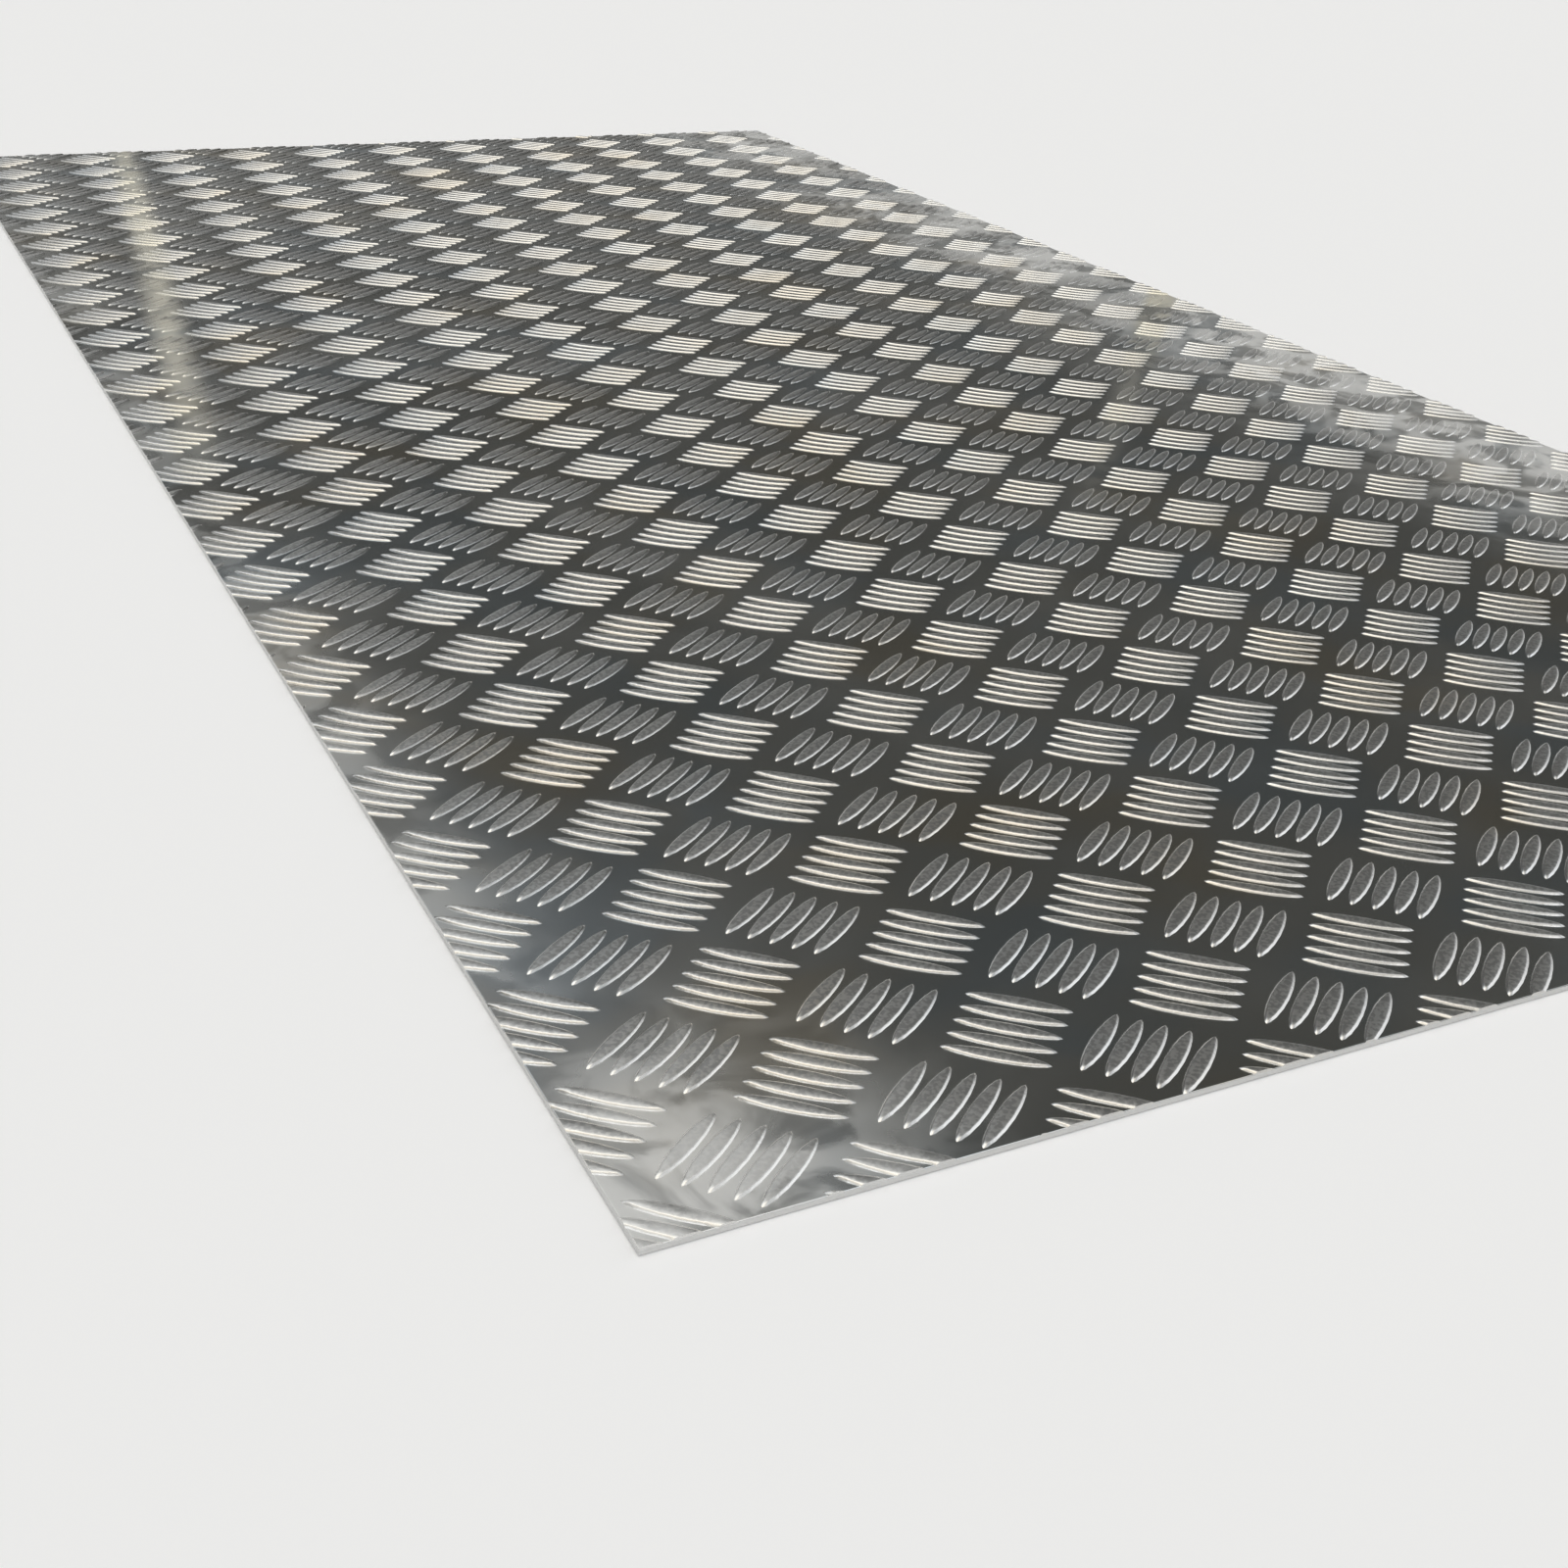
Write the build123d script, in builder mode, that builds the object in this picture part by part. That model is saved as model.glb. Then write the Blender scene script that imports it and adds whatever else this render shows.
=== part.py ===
from build123d import *
import os

# One flat sheet of aluminium floor plate, cut to size on a guillotine.
# The origin is the middle of the underside. +X runs across the sheet, +Y
# runs along it in the direction it was rolled, and +Z is the tread side.
# Lengths are in millimetres. The raised tread bars stand on the top face of
# this sheet and are not in the solid.

# Overall size of the sheet at its widest, and the plain metal between bars.
sheet_width = 600.0
sheet_length = 1200.0
sheet_thickness = 1.5

# Section of the sheared edge, from the tread side down: the arris the blade
# pulled over, the band it cut clean, and the torn band, which leans outwards.
rollover_radius = 0.3
clean_cut_height = 0.55
tear_lean = 5.0

torn_height = sheet_thickness - clean_cut_height

os.makedirs("parts", exist_ok=True)

with BuildPart() as checker_plate:
    # Torn lower band, full size at the underside.
    with BuildSketch(Plane.XY):
        Rectangle(sheet_width, sheet_length)
    extrude(amount=torn_height, taper=tear_lean)

    # Upper band, cut clean and upright.
    torn_top = checker_plate.faces().sort_by(Axis.Z)[-1]
    extrude(torn_top, amount=clean_cut_height)

    # The four upper edges, drawn over by the blade.
    tread_face = checker_plate.faces().sort_by(Axis.Z)[-1]
    fillet(tread_face.edges(), radius=rollover_radius)

checker_plate.part.label = "checker_plate"
export_step(checker_plate.part, "parts/checker_plate.step")
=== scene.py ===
import math

import bmesh
import bpy
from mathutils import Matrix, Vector


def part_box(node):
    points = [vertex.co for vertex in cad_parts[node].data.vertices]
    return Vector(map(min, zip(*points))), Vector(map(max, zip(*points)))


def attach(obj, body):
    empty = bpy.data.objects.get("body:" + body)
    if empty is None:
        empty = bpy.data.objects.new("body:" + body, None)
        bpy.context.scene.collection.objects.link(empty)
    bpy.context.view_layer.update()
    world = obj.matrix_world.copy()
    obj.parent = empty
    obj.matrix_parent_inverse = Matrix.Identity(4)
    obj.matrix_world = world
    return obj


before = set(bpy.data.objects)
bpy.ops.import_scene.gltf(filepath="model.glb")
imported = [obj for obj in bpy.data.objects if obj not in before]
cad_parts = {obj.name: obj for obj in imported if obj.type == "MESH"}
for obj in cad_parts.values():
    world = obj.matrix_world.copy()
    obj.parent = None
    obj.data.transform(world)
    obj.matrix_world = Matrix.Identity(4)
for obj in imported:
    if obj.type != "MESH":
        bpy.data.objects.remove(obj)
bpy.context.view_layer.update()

# The sheet.
# One flat sheet of rolled aluminium, cut to size on a guillotine. It is the
# solid of the frame, with the bright, lightly smeared finish that the rolls
# and some handling left on it, and two streaks of painted reflection.

ROLLED_ALUMINIUM = (0.60, 0.60, 0.575, 1.0)
BLUE_SMEAR = (0.53, 0.575, 0.60, 1.0)
WARM_SMEAR = (0.62, 0.575, 0.49, 1.0)
# Sheared edges: fresh-cut metal is lighter, and this is raised further as painted light
# against the shade at the sheet's foot.
FRESH_CUT_AND_PAINTED_LIGHT = (0.68, 0.68, 0.67, 1.0)
HAZE = (0.80, 0.80, 0.78, 1.0)
# The warm cream of the painted reflection streaks.
CREAMY_REFLECTION = (0.84, 0.80, 0.66, 1.0)

# Patterns in the finish: scale, detail, distortion.
CLOUDS = (9.0, 5.0, 0.6)
SMEARS = (12.0, 3.0, 0.3)
PATCHES = (34.0, 4.0, 1.2)
GRAIN = (900.0, 4.0)
SPECKLE = (850.0, 1.5)
# The rolls draw the grain out along the sheet.
GRAIN_DRAWN_OUT = (1.0, 0.03, 1.0)

# Where in the smears the blue and the warm tint start, and are full.
BLUE_PART = (0.50, 0.66)
WARM_PART = (0.48, 0.34)

# Haze along the long edges and round a corner: where it starts and is full, in
# metres across the sheet or from the corner, and how strong it is at each.
LEFT_EDGE = (-0.262, -0.300, 0.0, 0.4)
RIGHT_EDGE = (0.145, 0.285, 0.0, 1.0)
HELD_CORNER = (-0.31, -0.61, 0.0)
ROUND_CORNER = (0.13, 0.03, 0.0, 0.8)
# How clouds and patches thin it: where in the pattern, and what is left of it.
HAZE_IN_CLOUDS = (0.30, 0.60, 0.45, 1.0)
HAZE_IN_PATCHES = (0.40, 0.58, 0.4, 1.0)

# Where a painted reflection streak crosses the sheet's middle line, how far it
# drifts across for each metre along, its half width, where it fades in along
# the sheet, strength.
REFLECTION_STREAKS = (
    (-0.2694, 0.1281, 0.016, (-0.25, 0.15), 0.70),
    (0.2576, 0.8556, 0.018, (-0.45, -0.05), 0.30),
)
# How patches thin the painted reflection streaks, and where in a streak its cream starts and
# is full.
REFLECTION_STREAK_IN_PATCHES = (0.35, 0.55, 0.5, 1.0)
CREAMY_REFLECTION_PART = (0.0, 0.2)

# How metallic the surface is from no haze to full haze or a full painted reflection streak.
METAL_UNDER_HAZE_AND_REFLECTION = (0.0, 1.0, 1.0, 0.45)
# Roughness from the clearest cloud to the dullest, what haze and the painted
# reflection streaks add to it, and what a sheared edge has.
SHEET_ROUGHNESS = (0.30, 0.75, 0.17, 0.25)
ROUGHER_BY_HAZE_AND_REFLECTION = 0.22
SHEARED_ROUGHNESS = 0.45
# The upward part of a face's direction, on the flat and on a sheared edge.
FLAT_TO_SHEARED = (0.8, 0.4)
GRAIN_STRENGTH, GRAIN_DEPTH = 0.06, 0.00002


def link(tree, source, target):
    tree.links.new(source, target)


def feed(tree, source, target):
    """Gives a socket either another node's output or a plain value."""
    if isinstance(source, bpy.types.NodeSocket):
        tree.links.new(source, target)
    else:
        target.default_value = source


def ramp(tree, value, start, end, to_start=0.0, to_end=1.0):
    """Eases from one level to another as the value goes from start to end."""
    node = tree.nodes.new("ShaderNodeMapRange")
    node.interpolation_type = "SMOOTHSTEP"
    node.inputs["From Min"].default_value = start
    node.inputs["From Max"].default_value = end
    node.inputs["To Min"].default_value = to_start
    node.inputs["To Max"].default_value = to_end
    feed(tree, value, node.inputs["Value"])
    return node.outputs["Result"]


def combine(tree, operation, first, second):
    node = tree.nodes.new("ShaderNodeMath")
    node.operation = operation
    feed(tree, first, node.inputs[0])
    feed(tree, second, node.inputs[1])
    return node.outputs["Value"]


def blend(tree, mask, first, second):
    node = tree.nodes.new("ShaderNodeMix")
    node.data_type = "RGBA"
    feed(tree, mask, node.inputs["Factor"])
    feed(tree, first, node.inputs["A"])
    feed(tree, second, node.inputs["B"])
    return node.outputs["Result"]


def noise(tree, where, scale, detail, distortion=0.0):
    node = tree.nodes.new("ShaderNodeTexNoise")
    node.inputs["Scale"].default_value = scale
    node.inputs["Detail"].default_value = detail
    node.inputs["Distortion"].default_value = distortion
    feed(tree, where, node.inputs["Vector"])
    return node.outputs["Fac"]


def mill_finish_group():
    """Tint, clouds, grain, handling marks and painted reflection streaks that the sheet and
    its bars share.
    """
    tree = bpy.data.node_groups.new("mill_finish", "ShaderNodeTree")
    sockets = tree.interface
    for name in ("Metal", "Cool", "Warm"):
        sockets.new_socket(name, in_out="INPUT", socket_type="NodeSocketColor")
    for name in ("Colour", "Haze colour"):
        sockets.new_socket(name, in_out="OUTPUT", socket_type="NodeSocketColor")
    for name in ("Cloud", "Haze", "Grain", "Speckle"):
        sockets.new_socket(name, in_out="OUTPUT", socket_type="NodeSocketFloat")
    inputs = tree.nodes.new("NodeGroupInput")
    outputs = tree.nodes.new("NodeGroupOutput")
    spot = tree.nodes.new("ShaderNodeTexCoord").outputs["Object"]
    split = tree.nodes.new("ShaderNodeSeparateXYZ")
    link(tree, spot, split.inputs["Vector"])
    across, along = split.outputs["X"], split.outputs["Y"]

    cloud = noise(tree, spot, *CLOUDS)
    smear = noise(tree, spot, *SMEARS)
    blue, warm = ramp(tree, smear, *BLUE_PART), ramp(tree, smear, *WARM_PART)
    colour = blend(tree, blue, inputs.outputs["Metal"], inputs.outputs["Cool"])
    colour = blend(tree, warm, colour, inputs.outputs["Warm"])

    # Dull haze along the two long edges and on the corner that hands hold.
    corner_gap = tree.nodes.new("ShaderNodeVectorMath")
    corner_gap.operation = "DISTANCE"
    corner_gap.inputs[1].default_value = HELD_CORNER
    link(tree, spot, corner_gap.inputs[0])
    left_edge = ramp(tree, across, *LEFT_EDGE)
    right_edge = ramp(tree, across, *RIGHT_EDGE)
    corner = ramp(tree, corner_gap.outputs["Value"], *ROUND_CORNER)
    haze_and_reflection = combine(tree, "MAXIMUM", left_edge, right_edge)
    haze_and_reflection = combine(tree, "MAXIMUM", haze_and_reflection, corner)
    haze_and_reflection = combine(tree, "MULTIPLY", haze_and_reflection, ramp(tree, cloud, *HAZE_IN_CLOUDS))
    patches = noise(tree, spot, *PATCHES)
    haze_and_reflection = combine(tree, "MULTIPLY", haze_and_reflection, ramp(tree, patches, *HAZE_IN_PATCHES))

    # Two faint creamy streaks of painted reflection, each on a straight line over
    # the sheet and fading out towards the near end; they join the haze mask.
    haze_and_reflection_colour = HAZE
    for middle, drift, half_width, fade, strength in REFLECTION_STREAKS:
        gap = combine(tree, "SUBTRACT", across, combine(tree, "MULTIPLY", along, drift))
        gap = combine(tree, "ABSOLUTE", combine(tree, "SUBTRACT", gap, middle), 0.0)
        reflection_streak = ramp(tree, gap, half_width, 0.0, 0.0, strength)
        reflection_streak = combine(tree, "MULTIPLY", reflection_streak, ramp(tree, along, *fade))
        reflection_streak = combine(tree, "MULTIPLY", reflection_streak, ramp(tree, patches, *REFLECTION_STREAK_IN_PATCHES))
        haze_and_reflection_colour = blend(tree, ramp(tree, reflection_streak, *CREAMY_REFLECTION_PART), haze_and_reflection_colour, CREAMY_REFLECTION)
        haze_and_reflection = combine(tree, "MAXIMUM", haze_and_reflection, reflection_streak)

    rolling = tree.nodes.new("ShaderNodeMapping")
    rolling.inputs["Scale"].default_value = GRAIN_DRAWN_OUT
    link(tree, spot, rolling.inputs["Vector"])
    grain = noise(tree, rolling.outputs["Vector"], *GRAIN)
    speckle = noise(tree, spot, *SPECKLE)
    link(tree, colour, outputs.inputs["Colour"])
    link(tree, haze_and_reflection_colour, outputs.inputs["Haze colour"])
    link(tree, cloud, outputs.inputs["Cloud"])
    link(tree, haze_and_reflection, outputs.inputs["Haze"])
    link(tree, grain, outputs.inputs["Grain"])
    link(tree, speckle, outputs.inputs["Speckle"])
    return tree


mill_finish = mill_finish_group()


def metal_finish(name, metal, cool, warm, strength, depth):
    """A bare metal material with the mill finish and a bump placed in it."""
    material = bpy.data.materials.new(name)
    material.use_nodes = True
    tree = material.node_tree
    shader = tree.nodes["Principled BSDF"]
    finish = tree.nodes.new("ShaderNodeGroup")
    finish.node_tree = mill_finish
    finish.inputs["Metal"].default_value = metal
    finish.inputs["Cool"].default_value = cool
    finish.inputs["Warm"].default_value = warm
    metallic = ramp(tree, finish.outputs["Haze"], *METAL_UNDER_HAZE_AND_REFLECTION)
    link(tree, metallic, shader.inputs["Metallic"])
    bump = tree.nodes.new("ShaderNodeBump")
    bump.inputs["Strength"].default_value = strength
    bump.inputs["Distance"].default_value = depth
    link(tree, bump.outputs["Normal"], shader.inputs["Normal"])
    return material, tree, shader, finish, bump


def upward_part(tree):
    """How far a face looks up: 1 on the flat, 0 on an upright edge."""
    split = tree.nodes.new("ShaderNodeSeparateXYZ")
    direction = tree.nodes.new("ShaderNodeTexCoord").outputs["Normal"]
    link(tree, direction, split.inputs["Vector"])
    return split.outputs["Z"]


def sheet_metal():
    """The plain metal between the bars, the sheared edges and the underside."""
    material, tree, shader, finish, bump = metal_finish(
        "rolled_sheet", ROLLED_ALUMINIUM, BLUE_SMEAR, WARM_SMEAR, GRAIN_STRENGTH, GRAIN_DEPTH
    )
    haze_and_reflection = finish.outputs["Haze"]
    sheared = ramp(tree, upward_part(tree), *FLAT_TO_SHEARED)
    # Haze, and the cream of the painted reflection streaks.
    colour = blend(tree, haze_and_reflection, finish.outputs["Colour"], finish.outputs["Haze colour"])
    # Sheared edges: fresh-cut metal, lightened partly by painted light.
    colour = blend(tree, sheared, colour, FRESH_CUT_AND_PAINTED_LIGHT)
    rough = ramp(tree, finish.outputs["Cloud"], *SHEET_ROUGHNESS)
    rough = combine(tree, "ADD", rough, combine(tree, "MULTIPLY", haze_and_reflection, ROUGHER_BY_HAZE_AND_REFLECTION))
    sheared_rough = combine(tree, "MULTIPLY", sheared, SHEARED_ROUGHNESS)
    rough = combine(tree, "MAXIMUM", rough, sheared_rough)
    link(tree, colour, shader.inputs["Base Color"])
    link(tree, rough, shader.inputs["Roughness"])
    link(tree, finish.outputs["Grain"], bump.inputs["Height"])
    return material


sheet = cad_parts["checker_plate"]
sheet.data.materials.clear()
sheet.data.materials.append(sheet_metal())
low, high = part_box("checker_plate")

# The tread bars.
# Low oval bars, pressed up from the sheet by the engraved roll, five to a
# group. Groups leaning left and right take turns along and across the sheet.
# Where the guillotine cut a bar, the bar ends flush with the sheared edge.

MM = 0.001
BARS_PER_GROUP = 5
POINTS_ROUND_BAR = 16
TIP_SHARPNESS = 1.25
# One bar from its buried foot up: height over the sheet, half length, half
# width. The rim is steep, and the top is almost flat.
BAR_RINGS = (
    (-0.36 * MM, 14.2 * MM, 2.74 * MM),
    (0.40 * MM, 12.65 * MM, 2.00 * MM),
    (0.52 * MM, 11.80 * MM, 1.45 * MM),
)
BAR_RELIEF = 0.57 * MM

# How each lean's bars are turned, how far the next bar of a group lies from
# one, and where in the tread repeat, as a share of it, the group is centred.
LEFT_LEAN = (math.radians(-40.6), (-4.29 * MM, -4.25 * MM, 0), (0.09, -0.08))
RIGHT_LEAN = (math.radians(37.3), (4.18 * MM, -4.26 * MM, 0), (0.5875, 0.4211))

# The tread repeat: how far, and at what angle to the sheet's own X and Y, the
# next group of the same lean lies across and along the sheet.
REPEAT_ACROSS = 53.14 * MM
REPEAT_ALONG = 42.15 * MM
ROW_TURN = math.radians(-1.18)
COLUMN_TURN = math.radians(-1.10)
FIRST_CORNER = Vector((-300.76 * MM, -598.26 * MM, 0.0))
# Enough repeats to pass the sheet's edges on all sides before the cut.
COLUMNS, ROWS = 15, 32
# The sheared face stands this far inside the underside's edge.
CUT_INSET = 0.10 * MM
CUT_TOLERANCE = 0.001 * MM

BAR_METAL = (0.64, 0.635, 0.615, 1.0)
BAR_COOL = (0.625, 0.635, 0.63, 1.0)
BAR_WARM = (0.65, 0.625, 0.575, 1.0)
PITTED = (0.34, 0.34, 0.335, 1.0)
# Where the speckle makes no pit and a full one, and a pit's strength at each.
PITS = (0.58, 0.42, 0.0, 0.6)
# The upward part of a face's direction, on a bar's rim and on its top, and the
# roughness of both.
RIM_TO_TOP = (0.90, 0.985)
BAR_ROUGHNESS = (0.0, 1.0, 0.26, 0.36)
PIT_STRENGTH, PIT_DEPTH = 0.6, 0.08 * MM


def one_bar():
    """A single bar, lying along X on z = 0, as a closed mesh."""
    bar = bmesh.new()
    rings = []
    for height, half_length, half_width in BAR_RINGS:
        ring = []
        for k in range(POINTS_ROUND_BAR):
            turn = 2 * math.pi * k / POINTS_ROUND_BAR
            side = math.copysign(abs(math.sin(turn)) ** TIP_SHARPNESS, math.sin(turn))
            point = (half_length * math.cos(turn), half_width * side, height)
            ring.append(bar.verts.new(point))
        rings.append(ring)
    for lower, upper in zip(rings, rings[1:]):
        for k in range(POINTS_ROUND_BAR):
            n = (k + 1) % POINTS_ROUND_BAR
            bar.faces.new((lower[k], lower[n], upper[n], upper[k])).smooth = True

    # A low crest runs from tip to tip, and closes the top.
    top = rings[-1]
    half = POINTS_ROUND_BAR // 2
    crest = [top[0]]
    for k in range(1, half):
        crest.append(bar.verts.new((top[k].co.x, 0.0, BAR_RELIEF)))
    crest.append(top[half])
    for k in range(half):
        left = [top[k], top[k + 1], crest[k + 1], crest[k]]
        right = [top[-k - 1], top[-k], crest[k], crest[k + 1]]
        for corners in (left, right):
            bar.faces.new(list(dict.fromkeys(corners))).smooth = True

    foot = bar.faces.new(list(reversed(rings[0])))
    bmesh.ops.recalc_face_normals(bar, faces=bar.faces)
    for edge in foot.edges:
        edge.smooth = False
    mesh = bpy.data.meshes.new("one_bar")
    bar.to_mesh(mesh)
    bar.free()
    return bpy.data.objects.new("one_bar", mesh)


def tread_tree():
    """Repeats one bar into a group, groups into a row, and rows over the sheet."""
    tree = bpy.data.node_groups.new("tread", "GeometryNodeTree")
    sockets = tree.interface
    sockets.new_socket("Bar", in_out="INPUT", socket_type="NodeSocketObject")
    sockets.new_socket("Lean", in_out="INPUT", socket_type="NodeSocketVector")
    for name in ("Bars", "Columns", "Rows"):
        sockets.new_socket(name, in_out="INPUT", socket_type="NodeSocketInt")
    for name in ("First", "Bar step", "Column step", "Row step"):
        sockets.new_socket(name, in_out="INPUT", socket_type="NodeSocketVector")
    sockets.new_socket("Metal", in_out="INPUT", socket_type="NodeSocketMaterial")
    sockets.new_socket("Tread", in_out="OUTPUT", socket_type="NodeSocketGeometry")
    new = tree.nodes.new
    inputs = new("NodeGroupInput")
    outputs = new("NodeGroupOutput")

    bar = new("GeometryNodeObjectInfo")
    turned = new("GeometryNodeTransform")
    link(tree, inputs.outputs["Bar"], bar.inputs["Object"])
    link(tree, bar.outputs["Geometry"], turned.inputs["Geometry"])
    link(tree, inputs.outputs["Lean"], turned.inputs["Rotation"])
    shape = turned.outputs["Geometry"]
    repeats = (("Bars", "Bar step"), ("Columns", "Column step"), ("Rows", "Row step"))
    for count, step in repeats:
        line = new("GeometryNodeMeshLine")
        placed = new("GeometryNodeInstanceOnPoints")
        link(tree, inputs.outputs[count], line.inputs["Count"])
        link(tree, inputs.outputs[step], line.inputs["Offset"])
        link(tree, line.outputs["Mesh"], placed.inputs["Points"])
        link(tree, shape, placed.inputs["Instance"])
        shape = placed.outputs["Instances"]
    moved = new("GeometryNodeTransform")
    real = new("GeometryNodeRealizeInstances")
    metal = new("GeometryNodeSetMaterial")
    link(tree, shape, moved.inputs["Geometry"])
    link(tree, inputs.outputs["First"], moved.inputs["Translation"])
    link(tree, moved.outputs["Geometry"], real.inputs["Geometry"])
    link(tree, real.outputs["Geometry"], metal.inputs["Geometry"])
    link(tree, inputs.outputs["Metal"], metal.inputs["Material"])
    link(tree, metal.outputs["Geometry"], outputs.inputs["Tread"])
    return tree


def bar_metal():
    """The same metal, smooth on a bar's rim and pitted on top by the engraved roll."""
    material, tree, shader, finish, bump = metal_finish(
        "raised_bars", BAR_METAL, BAR_COOL, BAR_WARM, PIT_STRENGTH, PIT_DEPTH
    )
    haze_and_reflection, speckle = finish.outputs["Haze"], finish.outputs["Speckle"]
    top = ramp(tree, upward_part(tree), *RIM_TO_TOP)
    pitted = combine(tree, "MULTIPLY", top, ramp(tree, speckle, *PITS))
    colour = blend(tree, pitted, finish.outputs["Colour"], PITTED)
    # Haze, and the cream of the painted reflection streaks, over the bars too.
    colour = blend(tree, haze_and_reflection, colour, finish.outputs["Haze colour"])
    link(tree, colour, shader.inputs["Base Color"])
    link(tree, ramp(tree, top, *BAR_ROUGHNESS), shader.inputs["Roughness"])
    link(tree, speckle, bump.inputs["Height"])
    return material


def cut_flush(mesh):
    """Cuts the tread off level with the four sheared edges and closes the cut bars."""
    tread = bmesh.new()
    tread.from_mesh(mesh)
    sides = (
        (Vector((high.x - CUT_INSET, 0, 0)), Vector((1, 0, 0))),
        (Vector((low.x + CUT_INSET, 0, 0)), Vector((-1, 0, 0))),
        (Vector((0, high.y - CUT_INSET, 0)), Vector((0, 1, 0))),
        (Vector((0, low.y + CUT_INSET, 0)), Vector((0, -1, 0))),
    )
    for point, outward in sides:
        cut = bmesh.ops.bisect_plane(
            tread,
            geom=tread.verts[:] + tread.edges[:] + tread.faces[:],
            dist=CUT_TOLERANCE,
            plane_co=point,
            plane_no=outward,
            clear_outer=True,
        )
        rim = [part for part in cut["geom_cut"] if isinstance(part, bmesh.types.BMEdge)]
        ends = bmesh.ops.holes_fill(tread, edges=rim, sides=0)["faces"]
        for end in ends:
            end.smooth = False
            for edge in end.edges:
                edge.smooth = False
    bmesh.ops.recalc_face_normals(tread, faces=tread.faces)
    tread.to_mesh(mesh)
    tread.free()


bar_template = one_bar()
tread_nodes = tread_tree()
bar_finish = bar_metal()
across_step = Vector((math.cos(ROW_TURN), math.sin(ROW_TURN), 0)) * REPEAT_ACROSS
along_step = Vector((-math.sin(COLUMN_TURN), math.cos(COLUMN_TURN), 0)) * REPEAT_ALONG


def tread_bars(name, lean, bar_step, place_in_repeat):
    """All the bars of one lean, as one closed mesh on the sheet's top face."""
    # The rows and columns start one repeat outside the first corner.
    first = FIRST_CORNER + across_step * (place_in_repeat[0] - 1)
    first += along_step * (place_in_repeat[1] - 1)
    first -= Vector(bar_step) * (BARS_PER_GROUP - 1) / 2
    first.z = high.z
    values = {
        "Bar": bar_template,
        "Lean": (0.0, 0.0, lean),
        "Bars": BARS_PER_GROUP,
        "Columns": COLUMNS,
        "Rows": ROWS,
        "First": first,
        "Bar step": bar_step,
        "Column step": across_step,
        "Row step": along_step,
        "Metal": bar_finish,
    }
    bars = bpy.data.objects.new(name, bpy.data.meshes.new(name))
    bpy.context.collection.objects.link(bars)
    repeat = bars.modifiers.new("tread", "NODES")
    repeat.node_group = tread_nodes
    for socket in tread_nodes.interface.items_tree:
        if socket.in_out == "INPUT":
            repeat[socket.identifier] = values[socket.name]
    evaluated = bpy.context.evaluated_depsgraph_get()
    repeated = bars.evaluated_get(evaluated)
    mesh = bpy.data.meshes.new_from_object(repeated, depsgraph=evaluated)
    bars.modifiers.remove(repeat)
    cut_flush(mesh)
    bars.data = mesh
    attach(bars, "root")


tread_bars("bars_leaning_left", *LEFT_LEAN)
tread_bars("bars_leaning_right", *RIGHT_LEAN)

# The floor, the light and the camera.
# A plain pale floor, lit by soft round panels on the dark walls of a studio,
# and the camera where the photograph was taken from.

FLOOR_SIZE = 80.0
FLOOR_DROP = 0.2 * MM
PALE_FLOOR = (0.93, 0.93, 0.93, 1.0)
FLOOR_ROUGHNESS = 0.9

bpy.ops.mesh.primitive_plane_add(size=FLOOR_SIZE, location=(0, 0, -FLOOR_DROP))
floor = bpy.context.object
floor.name = "floor"
floor_paint = bpy.data.materials.new("pale_floor")
floor_paint.use_nodes = True
floor_shader = floor_paint.node_tree.nodes["Principled BSDF"]
floor_shader.inputs["Base Color"].default_value = PALE_FLOOR
floor_shader.inputs["Roughness"].default_value = FLOOR_ROUGHNESS
floor_shader.inputs["Specular IOR Level"].default_value = 0.0
floor.data.materials.append(floor_paint)

# A panel is even as far from its middle as its core, and gone at its rim.
PANEL_CORE, PANEL_RIM = math.radians(6), math.radians(26)
# Azimuth from +X, elevation, and colour of each panel: behind the camera,
# overhead, at the right and high up ahead. The wall low ahead stays dark, and
# the plain metal shows it.
PANELS = (
    (200, 48, (1.64, 1.66, 1.68)),
    (245, 48, (1.62, 1.64, 1.68)),
    (300, 48, (1.62, 1.64, 1.70)),
    (110, 75, (1.49, 1.37, 1.17)),
    (20, 75, (0.56, 0.57, 0.58)),
    (290, 75, (0.40, 0.36, 0.30)),
    (0, 24, (1.20, 1.22, 1.26)),
    (0, 48, (0.44, 0.46, 0.48)),
    (120, 24, (0.34, 0.35, 0.36)),
    (95, 52, (1.08, 1.12, 1.18)),
)
DARK_WALL = (0.073, 0.074, 0.070, 1.0)
PALE_SKIRTING = (0.83, 0.83, 0.82, 1.0)
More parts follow.
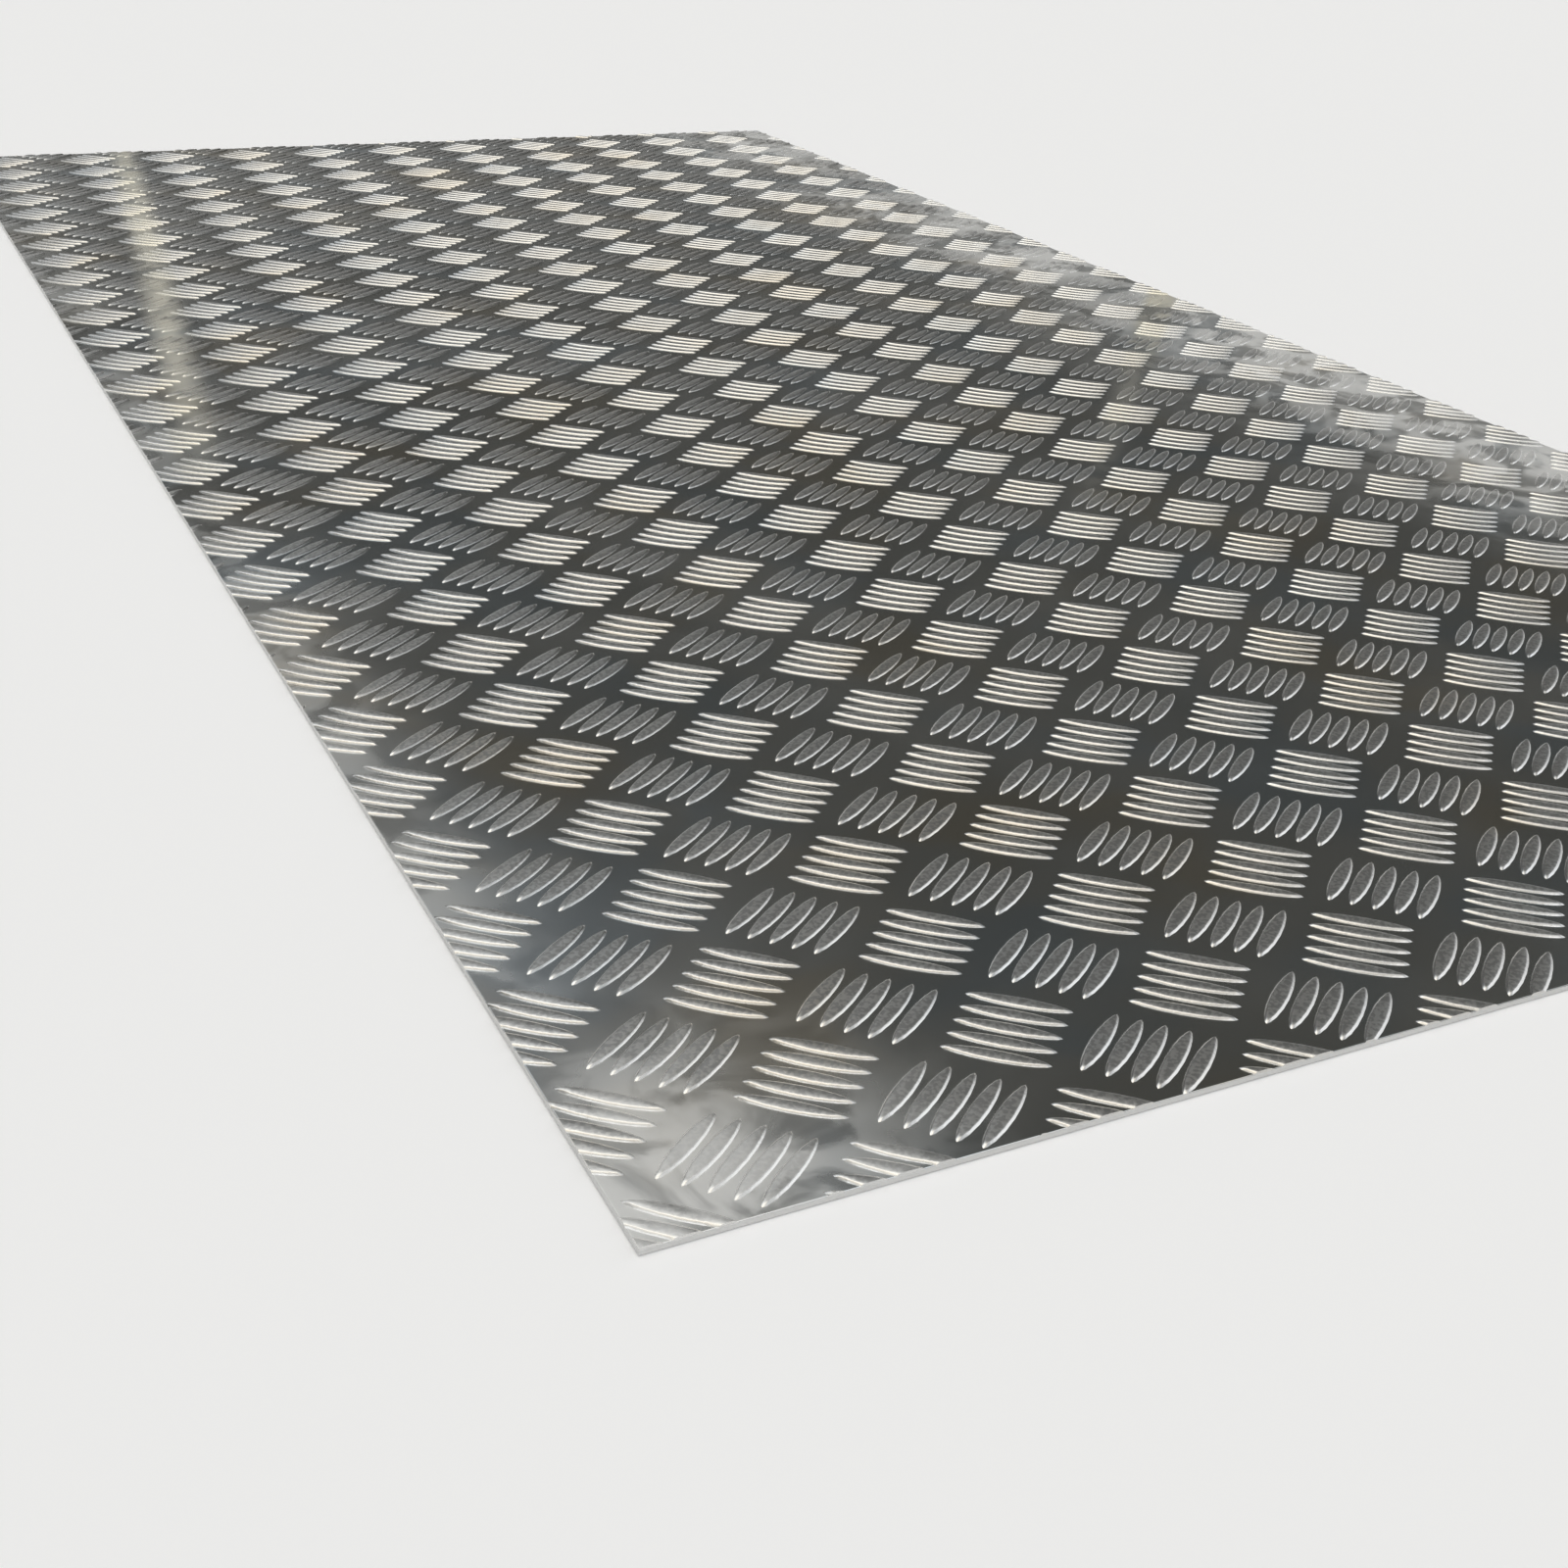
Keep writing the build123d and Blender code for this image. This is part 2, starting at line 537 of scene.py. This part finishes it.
# The upward part of the view's direction where the skirting starts and is full.
SKIRTING_EDGE = (0.20, 0.05)

world = bpy.data.worlds.new("studio")
world.use_nodes = True
bpy.context.scene.world = world
room = world.node_tree
surround = room.nodes["Background"]
surround.inputs["Strength"].default_value = 1.0
view_line = room.nodes.new("ShaderNodeTexCoord").outputs["Generated"]


def soft_panel(behind, azimuth, elevation, colour):
    """Adds a round, soft-rimmed panel of light, at a place given in degrees."""
    around, up = math.radians(azimuth), math.radians(elevation)
    facing = room.nodes.new("ShaderNodeVectorMath")
    facing.operation = "DOT_PRODUCT"
    facing.inputs[1].default_value = (
        math.cos(up) * math.cos(around), math.cos(up) * math.sin(around), math.sin(up)
    )
    link(room, view_line, facing.inputs[0])
    reach = ramp(room, facing.outputs["Value"], math.cos(PANEL_RIM), math.cos(PANEL_CORE))
    lit = blend(room, reach, behind, (*colour, 1.0))
    lit.node.blend_type = "ADD"
    return lit


height = room.nodes.new("ShaderNodeSeparateXYZ")
link(room, view_line, height.inputs["Vector"])
skirting = ramp(room, height.outputs["Z"], *SKIRTING_EDGE)
walls = blend(room, skirting, DARK_WALL, PALE_SKIRTING)
for azimuth, elevation, colour in PANELS:
    walls = soft_panel(walls, azimuth, elevation, colour)
link(room, walls, surround.inputs["Color"])

# The camera's lens and sensor in millimetres, its place in metres, and its
# turn in degrees.
FOCAL_LENGTH, SENSOR_WIDTH = 45.32, 36.0
NEAREST_SEEN = 0.01
CAMERA_PLACE = (-0.42134, -0.88406, 0.26858)
CAMERA_TURN = (62.5148, -2.6704, -26.2366)

lens = bpy.data.cameras.new("photo_camera")
lens.sensor_width = SENSOR_WIDTH
lens.lens = FOCAL_LENGTH
lens.clip_start = NEAREST_SEEN
camera = bpy.data.objects.new("photo_camera", lens)
camera.location = CAMERA_PLACE
camera.rotation_euler = [math.radians(turn) for turn in CAMERA_TURN]
bpy.context.collection.objects.link(camera)
bpy.context.scene.camera = camera
bpy.context.scene.view_settings.view_transform = "Standard"
